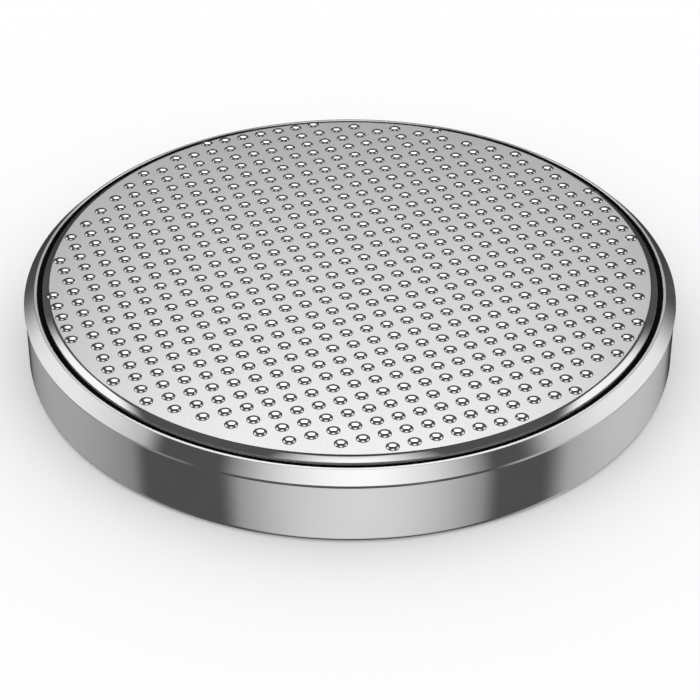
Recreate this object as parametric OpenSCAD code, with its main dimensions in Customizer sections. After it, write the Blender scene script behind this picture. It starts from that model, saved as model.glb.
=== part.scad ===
// Lithium coin cell, 20 mm across and 2.5 mm thick, with an embossed negative cap.
// Millimetres. The origin is the centre of the can's flat bottom face and +Z
// runs up to the negative cap. Every piece is turned about the Z axis, and the
// bumps of the cap are spherical domes set on a turned rectangular grid.

/* [Cell] */

// diameter over the positive can
cell_d = 20; // [16:0.1:24]
// height over the bumps of the cap
cell_h = 2.5; // [2:0.1:5.4]

/* [Positive can] */

// thickness of the can's bottom and wall
can_t = 0.25; // [0.2:0.01:0.3]
// rounding of the bottom edge
foot_r = 0.2; // [0.05:0.01:0.3]
// height of the cap's flat face above the crest of the crimped rim
rim_drop = 0.15; // [0.05:0.01:0.3]
// width and height of the rim's bevel
rim_bevel = 0.36; // [0.3:0.01:0.45]
// width of the crest between the bevel and the gap
rim_land = 0.08; // [0.06:0.01:0.12]
// rounding where the bevel meets the crest
crest_r = 0.03; // [0.02:0.01:0.12]
// rounding where the bevel meets the wall
knee_r = 0.12; // [0.02:0.01:0.2]

/* [Gasket] */

// width of the gap between the rim and the cap, filled by the gasket
gap_w = 0.18; // [0.1:0.01:0.25]
// depth of the gasket's top face below the crest of the rim
gap_depth = 0.16; // [0.02:0.01:0.2]
// thickness of the gasket between the cap's skirt and the can's wall
gasket_t = 0.2; // [0.12:0.01:0.28]
// thickness of the gasket under the skirt's foot
gasket_foot = 0.3; // [0.15:0.01:0.4]
// height of the gasket's inner upstand above the skirt's foot
gasket_up = 0.45; // [0.1:0.05:0.5]
// thickness of the gasket's inner upstand
gasket_in = 0.22; // [0.1:0.01:0.4]

/* [Negative cap] */

// thickness of the cap's sheet
cap_t = 0.2; // [0.15:0.01:0.25]
// rounding of the cap's shoulder
shoulder_r = 0.21; // [0.05:0.005:0.25]
// drop from the cap's flat face to the flare of its skirt
flare_drop = 0.62; // [0.5:0.01:0.7]

/* [Bumps] */

// diameter of a bump at its foot
bump_d = 0.38; // [0.2:0.01:0.45]
// height of a bump above the flat face
bump_h = 0.05; // [0.03:0.005:0.1]
// distance between bumps along a row
pitch_a = 0.6374; // [0.56:0.0001:1.5]
// distance between rows
pitch_b = 0.6073; // [0.56:0.0001:1.5]
// turn of the rows from the X axis
row_turn = 20; // [0:1:90]
// the grid point nearest the centre, in X
grid_x = -0.16; // [-0.3:0.01:0.3]
// the grid point nearest the centre, in Y
grid_y = 0.355; // [-0.4:0.005:0.4]
// band inside the rounded shoulder that stays clear of bump centres
clear_band = 0.135; // [0.13:0.005:2]
// shift of the bumped field towards the back
field_shift = 0.07; // [-0.2:0.01:0.2]
// shift of the second strike of the one bump that is struck twice
double_shift = -0.06; // [-0.1:0.01:-0.02]

/* [Inner pieces] */

// thickness of the lithium disc
lithium_t = 0.6; // [0.3:0.01:0.8]
// clearance between the lithium disc and the cap's skirt
lithium_clear = 1; // [0.1:0.05:3]
// thickness of the separator disc
separator_t = 0.13; // [0.05:0.01:0.3]
// clearance between the separator disc and the cap's skirt
separator_clear = 0.3; // [0.05:0.05:1]
// clearance between the collector ring and the gasket
ring_clear = 0.7; // [0.1:0.05:2]
// thickness of the collector ring's sheet
ring_t = 0.1; // [0.05:0.01:0.15]
// height of the collector ring
ring_h = 0.5; // [0.2:0.05:0.6]
// width of the collector ring's flange under the pellet
ring_flange = 0.5; // [0.2:0.05:1.5]

/* [Hidden] */

$fn = 72;

// radii of the can and its rim
can_r = cell_d / 2;
can_in = can_r - can_t;
lip_in = can_r - rim_bevel - rim_land;
bevel_in = lip_in + rim_land;

// levels of the can and its rim
flat_z = cell_h - bump_h;
crest_z = flat_z - rim_drop;
bevel_z = crest_z - rim_bevel;
bend_z = bevel_z + can_t * (1 - sqrt(2));
lip_z = bend_z + can_in - lip_in;

// half a 45 degree turn, for the corners of a bevel or a flare
half_turn = tan(22.5);

// radii and levels of the cap
cap_r = lip_in - gap_w;
cap_in = cap_r - cap_t;
flat_r = cap_r - shoulder_r;
under_z = flat_z - cap_t;
skirt_r = can_in - gasket_t;
skirt_in = skirt_r - cap_t;
skirt_z = can_t + gasket_foot;
flare_z = flat_z - flare_drop;
flare_low = flare_z - (skirt_r - cap_r);
flare_cut = cap_t * half_turn;

// levels and inner radius of the gasket
gap_z = crest_z - gap_depth;
upstand_in = skirt_in - gasket_in;
upstand_z = skirt_z + gasket_up;

// the stack from the cap's underside down to the can's bottom
lithium_r = cap_in - lithium_clear;
lithium_z = under_z - lithium_t;
separator_r = cap_in - separator_clear;
separator_z = lithium_z - separator_t;
ring_r = upstand_in - ring_clear;
pellet_r = ring_r - ring_t;
ring_low = can_t + ring_t;

// a bump is the top of a ball; its root, a little wider than its foot, reaches
// half the sheet's thickness down and so stays closed over the shoulder
ball_r = (pow(bump_d / 2, 2) + pow(bump_h, 2)) / (2 * bump_h);
root_r = bump_d * 0.55;
root_z = flat_z - cap_t / 2;

// the bumped field, and how far a bump centre may lie on the flat face
field_r = flat_r - clear_band;
reach_r = flat_r - bump_d / 8;
grid_n = ceil((field_r + abs(field_shift) + 1) / min(pitch_a, pitch_b));

// grid points just outside the field that do carry a bump, one just inside
// that does not, and the one that is struck twice, as column and row
edge_extra = [[-14, 2], [-3, 14], [3, 14], [11, -10]];
edge_bare = [[10, 10]];
struck_twice = [[1, -4]];

steel = [0.74, 0.74, 0.75];
black = [0.06, 0.06, 0.06];
lithium_grey = [0.62, 0.62, 0.64];
white = [0.93, 0.93, 0.92];
pellet_black = [0.14, 0.14, 0.15];

function among(list, i, j) = len([for (e = list) if (e[0] == i && e[1] == j) 1]) > 0;

function spot(i, j) = [
    grid_x + i * pitch_a * cos(row_turn) - j * pitch_b * sin(row_turn),
    grid_y + i * pitch_a * sin(row_turn) + j * pitch_b * cos(row_turn)
];

function in_field(p) = norm(p - [0, field_shift]) <= field_r;

function on_flat(p) = norm(p) <= reach_r;

function bumped(i, j) = on_flat(spot(i, j))
    && !among(edge_bare, i, j)
    && (in_field(spot(i, j)) || among(edge_extra, i, j));

// centres of all the bumps, with the second strike last
function centres() = [
    for (i = [-grid_n : grid_n], j = [-grid_n : grid_n])
        if (bumped(i, j)) spot(i, j),
    for (e = struck_twice)
        if (bumped(e[0], e[1])) spot(e[0], e[1]) + [double_shift, 0]
];

// half a section whose cut corners are rounded out to true arcs
module rounded_outline(points, arcs) {
    polygon(points);
    for (a = arcs)
        translate([a[0], a[1]])
            circle(r = a[2]);
}

// outside of the can: flat foot, wall, bevel and crest
module can_outline() {
    crest_cut = crest_r * half_turn;
    knee_cut = knee_r * half_turn;
    slant = sqrt(0.5);
    rounded_outline(
        [
            [0, 0],
            [can_r - foot_r, 0],
            [can_r, foot_r],
            [can_r, bevel_z - knee_cut],
            [can_r - knee_cut * slant, bevel_z + knee_cut * slant],
            [bevel_in + crest_cut * slant, crest_z - crest_cut * slant],
            [bevel_in - crest_cut, crest_z],
            [0, crest_z]
        ],
        [
            [can_r - foot_r, foot_r, foot_r],
            [can_r - knee_r, bevel_z - knee_cut, knee_r],
            [bevel_in - crest_cut, crest_z - crest_r, crest_r]
        ]
    );
}

module cathode_can() {
    color(steel)
        rotate_extrude()
            difference() {
                can_outline();
                polygon([
                    [-1, can_t],
                    [can_in, can_t],
                    [can_in, bend_z],
                    [lip_in, lip_z],
                    [lip_in, cell_h],
                    [-1, cell_h]
                ]);
            }
}

module gasket() {
    color(black)
        rotate_extrude()
            polygon([
                [upstand_in, can_t],
                [can_in, can_t],
                [can_in, bend_z],
                [lip_in, lip_z],
                [lip_in, gap_z],
                [cap_r, gap_z],
                [cap_r, flare_z],
                [skirt_r, flare_low],
                [skirt_r, skirt_z],
                [skirt_in, skirt_z],
                [skirt_in, upstand_z],
                [upstand_in, upstand_z]
            ]);
}

// sheet of the cap: flat top, rounded shoulder and flared skirt
module cap_section() {
    difference() {
        rounded_outline(
            [
                [0, flat_z],
                [flat_r, flat_z],
                [cap_r, flat_z - shoulder_r],
                [cap_r, flare_z],
                [skirt_r, flare_low],
                [skirt_r, skirt_z],
                [0, skirt_z]
            ],
            [[flat_r, flat_z - shoulder_r, shoulder_r]]
        );
        polygon([
            [-1, skirt_z - 1],
            [skirt_in, skirt_z - 1],
            [skirt_in, flare_low - flare_cut],
            [cap_in, flare_z - flare_cut],
            [cap_in, under_z],
            [-1, under_z]
        ]);
    }
}

// one bump, with its root inside the sheet
module bump() {
    rotate_extrude()
        intersection() {
            translate([0, cell_h - ball_r])
                circle(r = ball_r);
            translate([0, root_z])
                square([root_r, cell_h - root_z]);
        }
}

// the sheet comes first and the bumps after it, all joined in one step
module anode_cap() {
    spots = centres();
    color(steel)
        for (k = [-1 : len(spots) - 1])
            if (k < 0)
                rotate_extrude()
                    cap_section();
            else
                translate([spots[k][0], spots[k][1], 0])
                    bump();
}

module lithium_anode() {
    color(lithium_grey)
        translate([0, 0, lithium_z])
            cylinder(r = lithium_r, h = lithium_t);
}

module separator() {
    color(white)
        translate([0, 0, separator_z])
            cylinder(r = separator_r, h = separator_t);
}

// pressed disc with a rebate for the collector ring's flange
module cathode_pellet() {
    color(pellet_black)
        rotate_extrude()
            polygon([
                [0, can_t],
                [pellet_r - ring_flange, can_t],
                [pellet_r - ring_flange, ring_low],
                [pellet_r, ring_low],
                [pellet_r, separator_z],
                [0, separator_z]
            ]);
}

module collector_ring() {
    color(steel)
        rotate_extrude()
            polygon([
                [pellet_r - ring_flange, can_t],
                [ring_r, can_t],
                [ring_r, can_t + ring_h],
                [pellet_r, can_t + ring_h],
                [pellet_r, ring_low],
                [pellet_r - ring_flange, ring_low]
            ]);
}

cathode_can();
gasket();
anode_cap();
lithium_anode();
separator();
cathode_pellet();
collector_ring();
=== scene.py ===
"""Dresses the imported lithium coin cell: crimped can, gasket, embossed cap and inner parts."""

import math
from typing import NamedTuple

import bpy
from bpy.props import FloatProperty, FloatVectorProperty, IntProperty, PointerProperty
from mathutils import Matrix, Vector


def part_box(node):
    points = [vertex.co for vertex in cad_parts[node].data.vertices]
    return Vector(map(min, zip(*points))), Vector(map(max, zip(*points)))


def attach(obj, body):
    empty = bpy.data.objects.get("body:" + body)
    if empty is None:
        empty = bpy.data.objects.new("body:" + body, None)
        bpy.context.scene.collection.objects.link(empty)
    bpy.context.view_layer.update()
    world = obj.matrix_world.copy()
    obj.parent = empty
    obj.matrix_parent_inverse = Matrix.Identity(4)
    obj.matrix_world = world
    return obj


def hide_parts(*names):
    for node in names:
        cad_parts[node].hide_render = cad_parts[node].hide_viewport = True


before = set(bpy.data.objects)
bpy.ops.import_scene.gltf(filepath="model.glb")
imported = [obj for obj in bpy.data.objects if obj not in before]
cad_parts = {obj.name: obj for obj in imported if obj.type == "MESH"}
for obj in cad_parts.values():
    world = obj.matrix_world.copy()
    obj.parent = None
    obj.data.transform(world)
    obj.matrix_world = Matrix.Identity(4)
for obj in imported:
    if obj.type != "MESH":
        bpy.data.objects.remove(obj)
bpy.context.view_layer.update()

bl_info = {
    "name": "Coin Cell Dresser",
    "version": (1, 0, 0),
    "blender": (4, 5, 0),
    "location": "3D View > Sidebar > Coin Cell",
    "description": "Models and finishes the visible pieces of a lithium coin cell",
    "category": "Object",
}

MM = 0.001
# The tolerance for whether a face lies at a height.
HAIR = 0.001 * MM
# Edges sharper than this stay sharp, in degrees: turned sheet, and bumps.
SHEET_ANGLE, BUMP_ANGLE = 11, 50
# The hold loops beside a rounding, which keep the flats next to it flat.
EASE = 0.012 * MM
# Where the knee's undercut ends: shares of the wall's taper and of the undercut's height.
KNEE_TAPER, KNEE_RISE = 0.15, 0.2
# The gasket's hollow in the gap: how far in it starts, as a share of the gap, and how deep it is.
HOLLOW_START, HOLLOW_DEPTH = 0.3, 0.06
# How deep a bump's closed foot lies in the face.
BUMP_SINK = 0.003 * MM

CAN_LOW, CAN_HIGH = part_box("cathode_can")
CAP_LOW, CAP_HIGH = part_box("anode_cap")
CAN_RADIUS = (CAN_HIGH[0] - CAN_LOW[0]) / 2
SKIRT_RADIUS = (CAP_HIGH[0] - CAP_LOW[0]) / 2
SKIRT_FOOT = CAP_LOW[2]
CELL_TOP = CAP_HIGH[2]


def length(name, description, millimetres):
    """A length of the cell as a property, given in millimetres."""
    return FloatProperty(
        name=name,
        description=description,
        default=millimetres * MM,
        precision=5,
        subtype="DISTANCE",
        unit="LENGTH",
    )


def share(name, description, default):
    """A property between nought and one."""
    return FloatProperty(name=name, description=description, default=default, min=0, max=1, subtype="FACTOR")


def tint(name, description, default):
    """A colour property."""
    return FloatVectorProperty(
        name=name, description=description, default=default, size=3, min=0, max=1, subtype="COLOR"
    )


class CellSizes(bpy.types.PropertyGroup):
    """Sizes of the visible pieces."""

    segments: IntProperty(name="Segments", description="Sides of the turned pieces", default=192, min=48)
    can_wall: length("Can wall", "Thickness of the can's sheet", 0.25)
    foot_round: length("Foot round", "Rounding of the can's bottom edge", 0.17)
    rim_drop: length("Rim drop", "Height of the cap's face above the crest of the rim", 0.15)
    rim_bevel: length("Rim bevel", "Width and height of the crimped bevel", 0.33)
    rim_land: length("Rim land", "Width of the crest beside the gap", 0.09)
    crest_round: length("Crest round", "Rounding between bevel and crest", 0.015)
    wall_taper: length("Wall taper", "How far the wall leans in on its way up", 0.033)
    knee_lip: length("Knee lip", "Height of the fine undercut below the bevel", 0.107)
    gap: length("Gap", "Width of the gap that shows the gasket", 0.17)
    gap_depth: length("Gap depth", "Depth of the gasket below the crest", 0.16)
    cap_sheet: length("Cap sheet", "Thickness of the cap's sheet", 0.2)
    shoulder: length("Shoulder", "Width of the cap's shoulder", 0.224)
    shoulder_round: length("Shoulder round", "Rounding between the face and the shoulder", 0.15)
    shoulder_tilt: FloatProperty(
        name="Shoulder tilt",
        description="Steepness of the shoulder's normal",
        default=math.radians(56),
        subtype="ANGLE",
    )
    drawn_band: length("Drawn band", "Height of the dull band below the shoulder", 0.085)
    flare_drop: length("Flare drop", "Drop from the cap's face to the flare of its skirt", 0.62)
    gasket_upstand: length("Gasket upstand", "Thickness of the gasket inside the skirt", 0.22)
    gasket_rise: length("Gasket rise", "Height of that upstand above the skirt's foot", 0.45)
    bump_width: length("Bump width", "Diameter of a bump at its foot", 0.45)
    bump_height: length("Bump height", "Height of a bump above the face", 0.057)
    bump_sides: IntProperty(name="Bump sides", description="Sides of one bump", default=12, min=8)
    pitch_a: length("Pitch", "Distance between bumps along a row", 0.6374)
    pitch_b: length("Row pitch", "Distance between rows", 0.6073)
    row_turn: FloatProperty(
        name="Row turn", description="Turn of the rows", default=math.radians(20), subtype="ANGLE"
    )
    grid_x: length("Grid X", "Grid point nearest the centre, in X", -0.16)
    grid_y: length("Grid Y", "Grid point nearest the centre, in Y", 0.355)
    clear_band: length("Clear band", "Band inside the shoulder without bumps", 0.151)
    field_shift: length("Field shift", "Shift of the bumped field towards the back", 0.07)
    double_shift: length("Second strike", "Shift of the bump that is struck twice", -0.06)


class CellFinish(bpy.types.PropertyGroup):
    """Colours and gloss of the pieces."""

    steel: tint("Steel", "Colour of the polished sheet", (0.78, 0.78, 0.785))
    satin: tint("Satin steel", "Colour of the cap's satin face", (0.5, 0.5, 0.503))
    steel_rough: share("Steel roughness", "Roughness of the polished sheet", 0.06)
    satin_rough: share("Satin roughness", "Roughness of the cap's face", 0.24)
    drawn_rough: share("Drawn roughness", "Roughness of the cap's side in the gap", 0.6)
    gasket: tint("Gasket", "Colour of the moulded gasket", (0.003, 0.003, 0.0032))
    lithium: tint("Lithium", "Colour of the lithium disc", (0.55, 0.55, 0.57))
    separator: tint("Separator", "Colour of the separator", (0.86, 0.86, 0.84))
    pellet: tint("Pellet", "Colour of the pressed cathode", (0.018, 0.018, 0.02))


class CellStage(bpy.types.PropertyGroup):
    """Floor, light and camera."""

    floor: tint("Floor", "Colour of the floor", (0.995, 0.995, 0.995))
    glow: FloatProperty(name="Glow", description="Strength of the soft panels", default=1.25, min=0)


class Val:
    """A socket that ordinary arithmetic works on."""

    def __init__(self, finish, socket):
        self.finish = finish
        self.socket = socket

    def _math(self, operation, *values):
        return self.finish.node("ShaderNodeMath", {"operation": operation}, dict(enumerate(values)))

    def __add__(self, other):
        return self._math("ADD", self, other)

    __radd__ = __add__

    def __sub__(self, other):
        return self._math("SUBTRACT", self, other)

    def __rsub__(self, other):
        return self._math("SUBTRACT", other, self)

    def __mul__(self, other):
        return self._math("MULTIPLY", self, other)

    __rmul__ = __mul__

    def __truediv__(self, other):
        return self._math("DIVIDE", self, other)

    def __pow__(self, other):
        return self._math("POWER", self, other)

    def clamp(self):
        return self.finish.node("ShaderNodeClamp", {}, {0: self})

    def most(self, other):
        return self._math("MAXIMUM", self, other)

    def least(self, other):
        return self._math("MINIMUM", self, other)

    def smooth(self, low, high, at_low=0.0, at_high=1.0):
        """A soft step from at_low to at_high as this value goes from low to high."""
        return self.finish.node(
            "ShaderNodeMapRange",
            {"interpolation_type": "SMOOTHSTEP"},
            {0: self, 1: low, 2: high, 3: at_low, 4: at_high},
        )


class Finish:
    """Builds one procedural material or the world out of nodes."""

    def __init__(self, name, tree=None):
        if tree is None:
            self.material = bpy.data.materials.new(name)
            self.material.use_nodes = True
            tree = self.material.node_tree
        self.tree = tree
        tree.nodes.clear()

    def node(self, kind, settings, inputs, output=0):
        """Adds a node: its settings first, then the values or links of its sockets."""
        made = self.tree.nodes.new(kind)
        for name, value in settings.items():
            setattr(made, name, value)
        for name, value in inputs.items():
            socket = made.inputs[name]
            if isinstance(value, Val):
                self.tree.links.new(value.socket, socket)
            elif isinstance(value, (tuple, list)) and len(value) == 3 and socket.type == "RGBA":
                socket.default_value = (*value, 1)
            else:
                socket.default_value = value
        return Val(self, made.outputs[output])

    def place(self, turn=(0, 0, 0), scale=(1, 1, 1)):
        """Object coordinates in millimetres, turned and stretched."""
        point = self.node("ShaderNodeTexCoord", {}, {}, "Object")
        stretch = tuple(s / MM for s in scale)
        return self.node("ShaderNodeMapping", {}, {"Vector": point, "Rotation": turn, "Scale": stretch})

    def parts(self, vector):
        """The three numbers of a vector."""
        made = self.tree.nodes.new("ShaderNodeSeparateXYZ")
        self.tree.links.new(vector.socket, made.inputs[0])
        return [Val(self, output) for output in made.outputs]

    def noise(self, vector, scale, detail=2.0, roughness=0.5):
        """A noise value; scale counts features per millimetre."""
        return self.node(
            "ShaderNodeTexNoise", {}, {"Vector": vector, "Scale": scale, "Detail": detail, "Roughness": roughness}
        )

    def blend(self, factor, first, second):
        """A colour between first and second."""
        return self.node(
            "ShaderNodeMix", {"data_type": "RGBA"}, {"Factor": factor, 6: first, 7: second}, 2
        )

    def bump(self, height, distance, strength=1.0):
        """A bump normal whose relief is given in millimetres."""
        return self.node(
            "ShaderNodeBump", {}, {"Height": height, "Distance": distance * MM, "Strength": strength}
        )

    def surface(self, inputs):
        """Ends the material in a Principled surface."""
        shader = self.node("ShaderNodeBsdfPrincipled", {}, inputs)
        self.node_output(shader)
        return self.material

    def node_output(self, shader, kind="ShaderNodeOutputMaterial"):
        """Links a shader to the output."""
        out = self.tree.nodes.new(kind)
        self.tree.links.new(shader.socket, out.inputs["Surface"])


def arc(centre_r, centre_z, radius, start, end, steps):
    """Rings of a rounding, from one angle to the other in degrees, 0 pointing outwards."""
    turns = [math.radians(start + (end - start) * k / steps) for k in range(steps + 1)]
    return [(centre_r + radius * math.cos(t), centre_z + radius * math.sin(t)) for t in turns]


def edit(piece):
    """Opens a piece for editing with nothing selected."""
    bpy.ops.object.select_all(action="DESELECT")
    bpy.context.view_layer.objects.active = piece
    piece.select_set(True)
    bpy.ops.object.mode_set(mode="EDIT")
    bpy.ops.mesh.select_mode(type="EDGE")
    bpy.ops.mesh.select_all(action="DESELECT")


def pull_ring(rings, k):
    """Extrudes the selected ring from ring k - 1 to ring k of an outline."""
    (r0, z0), (r1, z1) = rings[k - 1], rings[k]
    bpy.ops.mesh.extrude_region_move(TRANSFORM_OT_translate={"value": (0, 0, z1 - z0)})
    bpy.ops.transform.resize(value=(r1 / r0, r1 / r0, 1), center_override=(0, 0, 0))


def turn_piece(name, rings, sides, closed_ring=False):
    """Turns an outline of (radius, height) rings about the Z axis.

    The first ring is a circle; each next one is extruded from it and resized. A
    closed ring joins its last ring to the first, and any other piece gets poles.
    """
    bpy.ops.object.select_all(action="DESELECT")
    fill = "NOTHING" if closed_ring else "TRIFAN"
    radius, height = rings[0]
    bpy.ops.mesh.primitive_circle_add(vertices=sides, radius=radius, fill_type=fill, location=(0, 0, height))
    piece = bpy.context.object
    piece.name = piece.data.name = name
    bpy.ops.object.transform_apply(location=True, rotation=True, scale=True)
    edit(piece)
    bpy.ops.mesh.select_all(action="SELECT")
    if not closed_ring:
        bpy.ops.mesh.region_to_loop()
    for k in range(1, len(rings)):
        pull_ring(rings, k)
    if closed_ring:
        bpy.ops.mesh.select_all(action="DESELECT")
        bpy.ops.mesh.select_non_manifold()
        bpy.ops.mesh.bridge_edge_loops()
    else:
        bpy.ops.mesh.extrude_region_move()
        bpy.ops.mesh.merge(type="CENTER")
    bpy.ops.mesh.select_all(action="SELECT")
    bpy.ops.mesh.normals_make_consistent(inside=False)
    bpy.ops.object.mode_set(mode="OBJECT")
    return piece


def smooth(piece, angle=30):
    """Smooth shading, with edges sharper than the angle kept."""
    bpy.ops.object.select_all(action="DESELECT")
    bpy.context.view_layer.objects.active = piece
    piece.select_set(True)
    bpy.ops.object.shade_smooth_by_angle(angle=math.radians(angle))


def levels(sizes):
    """Radii and heights that several pieces share."""
    half_turn = math.tan(math.radians(22.5))
    flat_z = CELL_TOP - sizes.bump_height
    crest_z = flat_z - sizes.rim_drop
    lip_in = CAN_RADIUS - sizes.rim_bevel - sizes.rim_land
    can_in = CAN_RADIUS - sizes.can_wall
    bevel_z = crest_z - sizes.rim_bevel
    bend_z = bevel_z + sizes.can_wall * (1 - math.sqrt(2))
    cap_r = lip_in - sizes.gap
    flare_z = flat_z - sizes.flare_drop
    round_r, tilt = sizes.shoulder_round, sizes.shoulder_tilt
    slope_z = (sizes.shoulder - round_r * math.cos(tilt)) / math.tan(tilt)
    return {
        "half_turn": half_turn,
        "flat_z": flat_z,
        "crest_z": crest_z,
        "lip_in": lip_in,
        "can_in": can_in,
        "bevel_in": lip_in + sizes.rim_land,
        "bevel_z": bevel_z,
        "bend_z": bend_z,
        "lip_z": bend_z + can_in - lip_in,
        "cap_r": cap_r,
        "flat_r": cap_r - sizes.shoulder,
        "shoulder_z": flat_z - round_r * (1 - math.sin(tilt)) - slope_z,
        "flare_z": flare_z,
        "flare_low": flare_z - (SKIRT_RADIUS - cap_r),
        "skirt_in": SKIRT_RADIUS - sizes.cap_sheet,
    }


def can_rings(sizes):
    """Outline of the can: bottom, wall, crimped bevel, crest, lip and the inside."""
    at = levels(sizes)
    foot, crest = sizes.foot_round, sizes.crest_round
    taper, lip = sizes.wall_taper, sizes.knee_lip
    crest_r = at["bevel_in"] - crest * at["half_turn"]
    slant = math.sqrt(0.5)
    knee_z = at["bevel_z"] + KNEE_RISE * lip
    crest_start = (crest_r + crest * slant, at["crest_z"] - crest + crest * slant)
    return (
        [(CAN_RADIUS / 2, 0), (CAN_RADIUS - foot - EASE, 0)]
        + arc(CAN_RADIUS - foot, foot, foot, -90, 0, 10)
        + [(CAN_RADIUS, foot + EASE), (CAN_RADIUS - taper, knee_z - lip), (CAN_RADIUS - KNEE_TAPER * taper, knee_z)]
        + [(crest_start[0] + EASE * slant, crest_start[1] - EASE * slant)]
        + arc(crest_r, at["crest_z"] - crest, crest, 45, 90, 6)
        + [(at["lip_in"] + EASE, at["crest_z"]), (at["lip_in"], at["crest_z"] - EASE)]
        + [(at["lip_in"], at["lip_z"]), (at["can_in"], at["bend_z"])]
        + [(at["can_in"], sizes.can_wall), (CAN_RADIUS / 2, sizes.can_wall)]
    )


def cap_rings(sizes):
    """Outline of the cap's sheet: face, shoulder, flared skirt and the inside."""
    at = levels(sizes)
    round_r, tilt = sizes.shoulder_round, sizes.shoulder_tilt
    under_z = at["flat_z"] - sizes.cap_sheet
    cap_in = at["cap_r"] - sizes.cap_sheet
    flare_cut = sizes.cap_sheet * at["half_turn"]
    return (
        [(at["flat_r"] / 2, at["flat_z"]), (at["flat_r"] - EASE, at["flat_z"])]
        + arc(at["flat_r"], at["flat_z"] - round_r, round_r, 90, math.degrees(tilt), 6)
        + [(at["cap_r"], z) for z in (at["shoulder_z"], at["shoulder_z"] - sizes.drawn_band, at["flare_z"])]
        + [(SKIRT_RADIUS, at["flare_low"]), (SKIRT_RADIUS, SKIRT_FOOT), (at["skirt_in"], SKIRT_FOOT)]
        + [(at["skirt_in"], at["flare_low"] - flare_cut), (cap_in, at["flare_z"] - flare_cut)]
        + [(cap_in, under_z), (cap_in / 2, under_z)]
    )


def gasket_rings(sizes):
    """Outline of the gasket, from the gap round the skirt's foot to its upstand."""
    at = levels(sizes)
    gap_z = at["crest_z"] - sizes.gap_depth
    upstand_in = at["skirt_in"] - sizes.gasket_upstand
    upstand_z = SKIRT_FOOT + sizes.gasket_rise
    hollow_z = gap_z - HOLLOW_DEPTH * sizes.gap
    return [
        (at["cap_r"], gap_z),
        (at["cap_r"] + HOLLOW_START * sizes.gap, hollow_z),
        (at["lip_in"] - HOLLOW_START * sizes.gap, hollow_z),
        (at["lip_in"], gap_z),
        (at["lip_in"], at["lip_z"]),
        (at["can_in"], at["bend_z"]),
        (at["can_in"], sizes.can_wall),
        (upstand_in, sizes.can_wall),
        (upstand_in, upstand_z),
        (at["skirt_in"], upstand_z),
        (at["skirt_in"], SKIRT_FOOT),
        (SKIRT_RADIUS, SKIRT_FOOT),
        (SKIRT_RADIUS, at["flare_low"]),
        (at["cap_r"], at["flare_z"]),
    ]


# Radius and height of a bump's rings as shares: a nearly flat top, a steep side and a soft foot.
BUMP_RINGS = (
    (1.0, 0.0),
    (0.867, 0.064),
    (0.8, 0.2),
    (0.742, 0.389),
    (0.68, 0.593),
    (0.6, 0.742),
    (0.467, 0.853),
    (0.289, 0.947),
)
EDGE_EXTRA = {(-14, 2), (-3, 14), (3, 14), (11, -10)}
EDGE_BARE = {(10, 10)}
STRUCK_TWICE = {(1, -4)}
GRID_REACH = 16


def grid_point(i, j, sizes):
    """Where the grid point of column i and row j lies."""
    turn_cos, turn_sin = math.cos(sizes.row_turn), math.sin(sizes.row_turn)
    along, across = i * sizes.pitch_a, j * sizes.pitch_b
    return sizes.grid_x + along * turn_cos - across * turn_sin, sizes.grid_y + along * turn_sin + across * turn_cos


def bumped(i, j, sizes, flat_r):
    """Whether the grid point of column i and row j carries a bump."""
    x, y = grid_point(i, j, sizes)
    inside = math.hypot(x, y - sizes.field_shift) <= flat_r - sizes.clear_band
    return (i, j) not in EDGE_BARE and (inside or (i, j) in EDGE_EXTRA)


def one_bump(name, sizes, flat_z):
    """One domed bump at the origin, closed underneath and sunk a hair into the face."""
    radius = sizes.bump_width / 2
    foot_z = flat_z - BUMP_SINK
    rings = [(radius * r, foot_z + (CELL_TOP - foot_z) * h) for r, h in BUMP_RINGS]
    bpy.ops.object.select_all(action="DESELECT")
    bpy.ops.mesh.primitive_circle_add(
        vertices=sizes.bump_sides, radius=radius, fill_type="NGON", location=(0, 0, foot_z)
    )
    bump = bpy.context.object
    bump.name = name
    bpy.ops.object.transform_apply(location=True, rotation=True, scale=True)
    edit(bump)
    bpy.ops.mesh.select_all(action="SELECT")
    bpy.ops.mesh.region_to_loop()
    for k in range(1, len(rings)):
        pull_ring(rings, k)
    bpy.ops.mesh.extrude_region_move(TRANSFORM_OT_translate={"value": (0, 0, CELL_TOP - rings[-1][1])})
    bpy.ops.mesh.merge(type="CENTER")
    bpy.ops.mesh.select_all(action="SELECT")
    bpy.ops.mesh.normals_make_consistent(inside=False)
    bpy.ops.object.mode_set(mode="OBJECT")
    return bump


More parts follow.
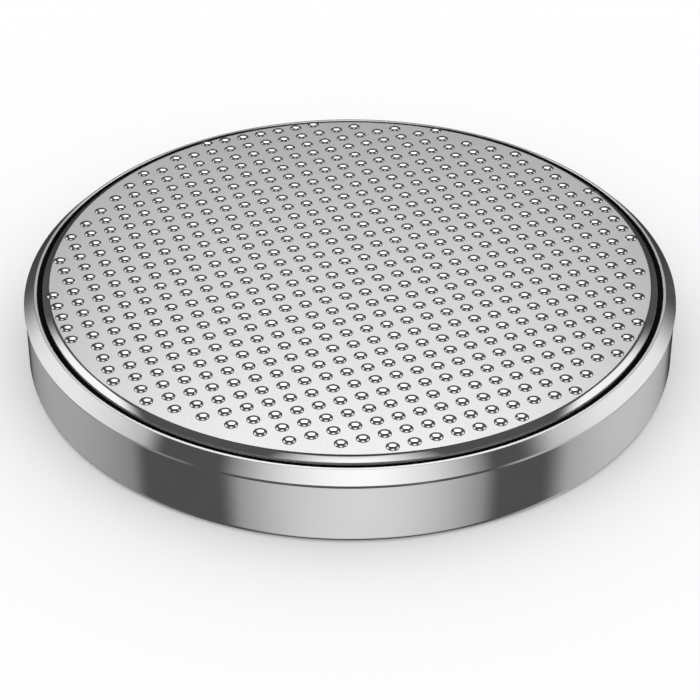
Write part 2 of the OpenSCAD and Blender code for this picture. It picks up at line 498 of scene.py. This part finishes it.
def bump_field(sizes):
    """All the bumps as one piece: arrayed, thinned out to the round field and turned."""
    at = levels(sizes)
    bumps = one_bump("cap_bumps", sizes, at["flat_z"])
    corners = len(bumps.data.vertices)
    count = 2 * GRID_REACH + 1
    start = (-GRID_REACH * sizes.pitch_a, -GRID_REACH * sizes.pitch_b, 0)
    for step in ((sizes.pitch_a, 0, 0), (0, sizes.pitch_b, 0)):
        bpy.ops.object.modifier_add(type="ARRAY")
        row = bumps.modifiers[-1]
        row.use_relative_offset = False
        row.use_constant_offset = True
        row.constant_offset_displace = step
        row.count = count
        bpy.ops.object.modifier_apply(modifier=row.name)
    edit(bumps)
    bpy.ops.mesh.select_mode(type="VERT")
    bpy.ops.object.mode_set(mode="OBJECT")
    for corner in bumps.data.vertices:
        column, row = corner.index // corners % count, corner.index // corners // count
        spot = (column - GRID_REACH, row - GRID_REACH)
        corner.select = not bumped(*spot, sizes, at["flat_r"])
    bpy.ops.object.mode_set(mode="EDIT")
    bpy.ops.mesh.delete(type="VERT")
    bpy.ops.mesh.select_all(action="SELECT")
    bpy.ops.transform.translate(value=start)
    # With no window the turn runs the other way round.
    bpy.ops.transform.rotate(value=-sizes.row_turn, orient_axis="Z", center_override=(0, 0, 0))
    bpy.ops.transform.translate(value=(sizes.grid_x, sizes.grid_y, 0))
    bpy.ops.object.mode_set(mode="OBJECT")
    return bumps


def strike_again(bumps, sizes):
    """Copies the bumps that were struck twice a short way to the side."""
    reach = 0.6 * sizes.bump_width
    edit(bumps)
    bpy.ops.mesh.select_mode(type="VERT")
    bpy.ops.object.mode_set(mode="OBJECT")
    for i, j in STRUCK_TWICE:
        x, y = grid_point(i, j, sizes)
        for corner in bumps.data.vertices:
            corner.select = math.hypot(corner.co.x - x, corner.co.y - y) < reach
    bpy.ops.object.mode_set(mode="EDIT")
    bpy.ops.mesh.duplicate_move(TRANSFORM_OT_translate={"value": (sizes.double_shift, 0, 0)})
    bpy.ops.object.mode_set(mode="OBJECT")


def join(main, other):
    """Joins a second mesh into the main piece."""
    bpy.ops.object.select_all(action="DESELECT")
    other.select_set(True)
    main.select_set(True)
    bpy.context.view_layer.objects.active = main
    bpy.ops.object.join()


def settle(piece, slot, *nodes):
    """Says what a finished piece rides on and hides the nodes it stands for; the slot it is given is not used."""
    piece.location = (0, 0, 0)
    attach(piece, "root")
    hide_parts(*nodes)


def polished_steel(finish):
    """Bright drawn sheet: faint rolling lines and a soft cloudiness."""
    mat = Finish("polished_steel")
    sheet = mat.place(scale=(0.35, 6, 6))
    lines = mat.noise(sheet, 2.2, 3.0)
    cloud = mat.noise(mat.place(), 0.6, 2.0)
    tone = mat.blend(cloud.smooth(0.3, 0.7), [c * 0.97 for c in finish.steel], tuple(finish.steel))
    rough = finish.steel_rough + 0.03 * (cloud - 0.5) + 0.03 * (lines - 0.5)
    return mat.surface(
        {
            "Base Color": tone,
            "Metallic": 1.0,
            "Roughness": rough,
            "Normal": mat.bump(lines, 0.0004, 0.3),
        }
    )


def satin_steel(finish):
    """The cap's face: fine even grain of the coining die under a soft sheen."""
    mat = Finish("satin_steel")
    point = mat.place()
    grain = mat.noise(point, 22.0, 2.0, 0.6)
    cloud = mat.noise(point, 0.5, 2.0)
    tone = mat.blend(cloud.smooth(0.3, 0.7), [c * 0.97 for c in finish.satin], tuple(finish.satin))
    rough = finish.satin_rough + 0.05 * (cloud - 0.5) + 0.08 * (grain - 0.5)
    return mat.surface(
        {
            "Base Color": tone,
            "Metallic": 1.0,
            "Roughness": rough,
            "Normal": mat.bump(grain, 0.002, 0.25),
        }
    )


def drawn_steel(finish):
    """The cap's side down in the gap: dull drawn sheet with fine upright lines."""
    mat = Finish("drawn_steel")
    lines = mat.noise(mat.place(scale=(12, 12, 0.5)), 2.0, 2.0)
    tone = mat.blend(lines.smooth(0.3, 0.7), [c * 0.95 for c in finish.steel], tuple(finish.steel))
    rough = finish.drawn_rough + 0.06 * (lines - 0.5)
    return mat.surface({"Base Color": tone, "Metallic": 1.0, "Roughness": rough, "Normal": mat.bump(lines, 0.001, 0.2)})


def moulded_black(finish):
    """Black moulded plastic of the gasket."""
    mat = Finish("moulded_black")
    grain = mat.noise(mat.place(), 30.0, 2.0)
    cloud = mat.noise(mat.place(), 2.0)
    tone = mat.blend(cloud, tuple(finish.gasket), [c * 1.6 for c in finish.gasket])
    return mat.surface(
        {
            "Base Color": tone,
            "Roughness": 0.6 + 0.15 * (grain - 0.5),
            "Specular IOR Level": 0.05,
            "Normal": mat.bump(grain, 0.003, 0.3),
        }
    )


def lithium_metal(finish):
    """Soft rolled lithium with a dull, cloudy skin."""
    mat = Finish("lithium_metal")
    rolled = mat.noise(mat.place(scale=(0.3, 5, 1)), 3.0, 3.0)
    cloud = mat.noise(mat.place(), 0.7, 4.0)
    tone = mat.blend(cloud.smooth(0.35, 0.7), tuple(finish.lithium), [c * 0.7 for c in finish.lithium])
    return mat.surface(
        {
            "Base Color": tone,
            "Metallic": 0.9,
            "Roughness": 0.42 + 0.2 * (cloud - 0.5),
            "Normal": mat.bump(rolled, 0.004, 0.4),
        }
    )


def pressed_fibre(finish):
    """White non-woven separator: short fibres pressed together."""
    mat = Finish("pressed_fibre")
    one = mat.noise(mat.place(scale=(1, 9, 1)), 4.0, 2.0)
    other = mat.noise(mat.place((0, 0, math.radians(65)), (1, 9, 1)), 4.0, 2.0)
    fibre = one.most(other)
    tone = mat.blend(fibre.smooth(0.4, 0.7), [c * 0.86 for c in finish.separator], tuple(finish.separator))
    return mat.surface({"Base Color": tone, "Roughness": 0.85, "Normal": mat.bump(fibre, 0.01, 0.5)})


def pressed_powder(finish):
    """Black pressed powder of the cathode with fine crystalline specks."""
    mat = Finish("pressed_powder")
    speck = mat.noise(mat.place(), 18.0, 3.0, 0.65)
    tone = mat.blend(speck.smooth(0.55, 0.75), tuple(finish.pellet), [c * 4 for c in finish.pellet])
    return mat.surface(
        {"Base Color": tone, "Roughness": 0.8 - 0.3 * speck.smooth(0.6, 0.8), "Normal": mat.bump(speck, 0.01, 0.6)}
    )


class Sky:
    """Directions seen from the cell, as shader values."""

    def __init__(self, mat):
        point = mat.node("ShaderNodeTexCoord", {}, {}, "Object")
        ray = mat.node("ShaderNodeVectorMath", {"operation": "NORMALIZE"}, {0: point})
        x, y, self.up = mat.parts(ray)
        flat = ((x * x + y * y) ** 0.5).most(0.0001)
        self.x, self.y, self.rise = x / flat, y / flat, self.up / flat

    def towards(self, bearing):
        """One where a ray has this bearing, falling off as a cosine."""
        turn = math.radians(bearing)
        return self.x * math.cos(turn) + self.y * math.sin(turn)

    def beyond(self, bearing, lean=0.0, soft=4.0, most=9.0):
        """A soft edge: one on the side of growing bearing, leaning with the height up to a most."""
        across = self.towards(bearing + 90) + lean * self.rise.least(most)
        reach = math.sin(math.radians(soft))
        return across.smooth(-reach, reach)

    def below(self, elevation, soft=3.0):
        """One below an elevation and nought above it."""
        low, high = (math.sin(math.radians(elevation + d)) for d in (-soft, soft))
        return self.up.smooth(low, high, 1.0, 0.0)

    def middle(self, bearing, fall):
        """Brightness across a panel, which falls off from its middle."""
        return (1 - fall * (1 - self.towards(bearing))).most(0.0)


class Panel(NamedTuple):
    """A soft panel of the tent, with bearings and heights in degrees.

    start and end are its two edges, as Sky.beyond takes them, and facing is its side
    of the tent. It is brightest at middle and loses light by fall away from it. Its
    level at eye height changes by gain up to the zenith, and it reaches up to top.
    """

    start: tuple
    end: tuple
    facing: float
    middle: float
    fall: float
    level: float
    gain: float
    top: float


SIDE_PANELS = (
    Panel((-135.05, 0.072, 4.8), (-38.4, -0.041, 4.3), -87, -87.4, 2.55, 0.737, 0.232, 76),
    Panel((-17.1, 0.066, 7.0), (41.3, 0.526, 6.2, 0.2), 15, 21.5, 2.554, 0.638, 0.341, 46),
    Panel((136.2, -0.547, 6.0, 0.2), (194.55, -0.056, 4.2), 165, 153.9, 2.524, 0.586, 0.518, 46),
)
BACK_BEARING = 90
BACK_SPAN = (74.7, 105.3)
BACK_SOFT = 8
# Height and softness of the back panel's lower and upper edge.
BACK_FOOT, BACK_TOP = (26.3, 1.2), (50, 5)
# Its light at the foot, and how much is added from the first height to the second, as sines.
BACK_LEVEL, BACK_GAIN, BACK_RAMP = 0.26, 3.0, (0.438, 0.848)
TENT_FOOT = -65
# The light of the gaps between the panels, and what it loses behind the cell.
GAP_LEVEL, GAP_LOSS = 0.076, 0.035


def side_light(sky, panel):
    """The light of a side panel."""
    span = sky.beyond(*panel.start) * (1 - sky.beyond(*panel.end)) * sky.towards(panel.facing).smooth(0.0, 0.1)
    light = sky.middle(panel.middle, panel.fall) * (panel.level + panel.gain * sky.up)
    return span * light * sky.below(panel.top)


def back_light(sky):
    """The light of the back panel, which grows quickly with the height."""
    first, last = BACK_SPAN
    span = sky.beyond(first, 0, BACK_SOFT) * (1 - sky.beyond(last, 0, BACK_SOFT))
    span = span * sky.towards(BACK_BEARING).smooth(0.0, 0.1)
    low, high = BACK_RAMP
    ramp = ((sky.up - low) / (high - low)).clamp()
    return span * sky.below(*BACK_TOP) * (1 - sky.below(*BACK_FOOT)) * (BACK_LEVEL + BACK_GAIN * ramp)


def tent_glow(stage):
    """The glow of the tent: four soft panels with dark gaps between, above and underneath."""
    mat = Finish("tent_glow")
    sky = Sky(mat)
    light = back_light(sky)
    for panel in SIDE_PANELS:
        light = light + side_light(sky, panel)
    gaps = GAP_LEVEL - GAP_LOSS * sky.towards(BACK_BEARING).smooth(0.75, 0.95)
    light = light * (1 - sky.below(TENT_FOOT)) + gaps
    mat.node_output(mat.node("ShaderNodeEmission", {}, {"Color": light, "Strength": stage.glow}))
    return mat.material


def floor_paint(stage):
    """Pale matt floor with the faintest mottling, seen through from underneath."""
    mat = Finish("floor_paint")
    cloud = mat.noise(mat.place(), 0.02, 2.0)
    tone = mat.blend(cloud, tuple(stage.floor), [min(1, c * 1.005) for c in stage.floor])
    matt = mat.node("ShaderNodeBsdfDiffuse", {}, {"Color": tone})
    clear = mat.node("ShaderNodeBsdfTransparent", {}, {})
    under = mat.node("ShaderNodeNewGeometry", {}, {}, "Backfacing")
    mat.node_output(mat.node("ShaderNodeMixShader", {}, {0: under, 1: matt, 2: clear}))
    return mat.material


FLOOR_RADIUS, TENT_RADIUS = 1.5, 0.6
# The floor lies this far under the cell, so that the two faces never meet.
FLOOR_DROP = 0.02 * MM
CAMERA_PLACE = (0, -50.235 * MM, 35.288 * MM)
CAMERA_DIP = 35.01


def cell_settings():
    """The three groups of settings of the scene."""
    scene = bpy.context.scene
    return scene.cell_sizes, scene.cell_finish, scene.cell_stage


class CELL_OT_stage(bpy.types.Operator):
    """Sets up the floor, the soft light tent, the world and the camera"""

    bl_idname = "cell.stage"
    bl_label = "Stage"

    def execute(self, context):
        stage = context.scene.cell_stage
        bpy.ops.object.select_all(action="DESELECT")
        spot = (0, 0, -FLOOR_DROP)
        bpy.ops.mesh.primitive_circle_add(vertices=64, radius=FLOOR_RADIUS, fill_type="NGON", location=spot)
        floor = context.object
        floor.name = "floor"
        floor.data.materials.append(floor_paint(stage))
        floor.visible_glossy = False
        bpy.ops.object.select_all(action="DESELECT")
        bpy.ops.mesh.primitive_uv_sphere_add(segments=64, ring_count=32, radius=TENT_RADIUS)
        tent = context.object
        tent.name = "light_tent"
        tent.data.materials.append(tent_glow(stage))
        tent.visible_camera = False
        tent.visible_diffuse = False
        tent.visible_shadow = False
        tent.visible_transmission = False
        tent.visible_volume_scatter = False
        world = bpy.data.worlds.new("white_room")
        context.scene.world = world
        world.use_nodes = True
        room = Finish("white_room", world.node_tree)
        shader = room.node("ShaderNodeBackground", {}, {"Color": (1, 1, 1), "Strength": 1.0})
        room.node_output(shader, "ShaderNodeOutputWorld")
        bpy.ops.object.camera_add(location=CAMERA_PLACE, rotation=(math.radians(90 - CAMERA_DIP), 0, 0))
        camera = context.object
        camera.data.lens = 100.16
        camera.data.sensor_width = 36
        camera.data.shift_y = -0.029
        camera.data.clip_start = 0.001
        camera.data.clip_end = 20
        context.scene.camera = camera
        context.scene.view_settings.view_transform = "Standard"
        return {"FINISHED"}


class CELL_OT_can(bpy.types.Operator):
    """Turns the positive can with its rounded foot, crimped bevel and crest"""

    bl_idname = "cell.can"
    bl_label = "Positive can"

    def execute(self, context):
        sizes, finish, _ = cell_settings()
        can = turn_piece("can_shell", can_rings(sizes), sizes.segments)
        can.data.materials.append(polished_steel(finish))
        can.data.materials.append(satin_steel(finish))
        crest_z = levels(sizes)["crest_z"]
        for face in can.data.polygons:
            face.material_index = 1 if face.center.z > crest_z - HAIR else 0
        smooth(can, SHEET_ANGLE)
        settle(can, "can_steel", "cathode_can")
        return {"FINISHED"}


class CELL_OT_gasket(bpy.types.Operator):
    """Turns the black gasket that shows in the gap"""

    bl_idname = "cell.gasket"
    bl_label = "Gasket"

    def execute(self, context):
        sizes, finish, _ = cell_settings()
        ring = turn_piece("gasket_ring", gasket_rings(sizes), sizes.segments, closed_ring=True)
        ring.data.materials.append(moulded_black(finish))
        smooth(ring)
        settle(ring, "gasket", "gasket")
        return {"FINISHED"}


class CELL_OT_cap(bpy.types.Operator):
    """Turns the negative cap and strikes the bumps into its face"""

    bl_idname = "cell.cap"
    bl_label = "Negative cap"

    def execute(self, context):
        sizes, finish, _ = cell_settings()
        at = levels(sizes)
        cap = turn_piece("cap_sheet", cap_rings(sizes), sizes.segments)
        bright = bpy.data.materials["polished_steel"]
        cap.data.materials.append(bright)
        cap.data.materials.append(bpy.data.materials["satin_steel"])
        cap.data.materials.append(drawn_steel(finish))
        for face in cap.data.polygons:
            if face.center.z > at["flat_z"] - HAIR:
                face.material_index = 1
            elif 0 < at["shoulder_z"] - face.center.z < sizes.drawn_band:
                face.material_index = 2
        smooth(cap, SHEET_ANGLE)
        bumps = bump_field(sizes)
        strike_again(bumps, sizes)
        bumps.data.materials.append(bright)
        smooth(bumps, BUMP_ANGLE)
        join(cap, bumps)
        settle(cap, "cap_steel", "anode_cap")
        return {"FINISHED"}


class CELL_OT_inside(bpy.types.Operator):
    """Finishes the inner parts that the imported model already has"""

    bl_idname = "cell.inside"
    bl_label = "Inner parts"

    def execute(self, context):
        finish = context.scene.cell_finish
        makers = {
            "lithium_anode": lithium_metal,
            "separator": pressed_fibre,
            "cathode_pellet": pressed_powder,
        }
        for node, maker in makers.items():
            self.paint(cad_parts[node], maker(finish))
        self.paint(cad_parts["collector_ring"], bpy.data.materials["polished_steel"])
        return {"FINISHED"}

    @staticmethod
    def paint(piece, material):
        """Gives every material slot of a piece one finish."""
        for slot in piece.material_slots:
            slot.material = material


class CELL_PT_panel(bpy.types.Panel):
    """Lists the steps of the coin cell"""

    bl_label = "Coin Cell"
    bl_space_type = "VIEW_3D"
    bl_region_type = "UI"
    bl_category = "Coin Cell"

    def draw(self, context):
        for step in STEPS:
            self.layout.operator(step.bl_idname)
        for group in (context.scene.cell_sizes, context.scene.cell_finish, context.scene.cell_stage):
            for name in group.__annotations__:
                self.layout.prop(group, name)


STEPS = (CELL_OT_stage, CELL_OT_can, CELL_OT_gasket, CELL_OT_cap, CELL_OT_inside)
CLASSES = (CellSizes, CellFinish, CellStage, *STEPS, CELL_PT_panel)


def register():
    """Registers the classes and hangs the settings on the scene."""
    for cls in CLASSES:
        bpy.utils.register_class(cls)
    bpy.types.Scene.cell_sizes = PointerProperty(type=CellSizes)
    bpy.types.Scene.cell_finish = PointerProperty(type=CellFinish)
    bpy.types.Scene.cell_stage = PointerProperty(type=CellStage)


def unregister():
    """Takes the settings and the classes away again."""
    del bpy.types.Scene.cell_stage
    del bpy.types.Scene.cell_finish
    del bpy.types.Scene.cell_sizes
    for cls in reversed(CLASSES):
        bpy.utils.unregister_class(cls)


def main():
    """Builds the stage and every piece in order."""
    register()
    bpy.ops.cell.stage()
    bpy.ops.cell.can()
    bpy.ops.cell.gasket()
    bpy.ops.cell.cap()
    bpy.ops.cell.inside()
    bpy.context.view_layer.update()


if __name__ == "__main__":
    main()
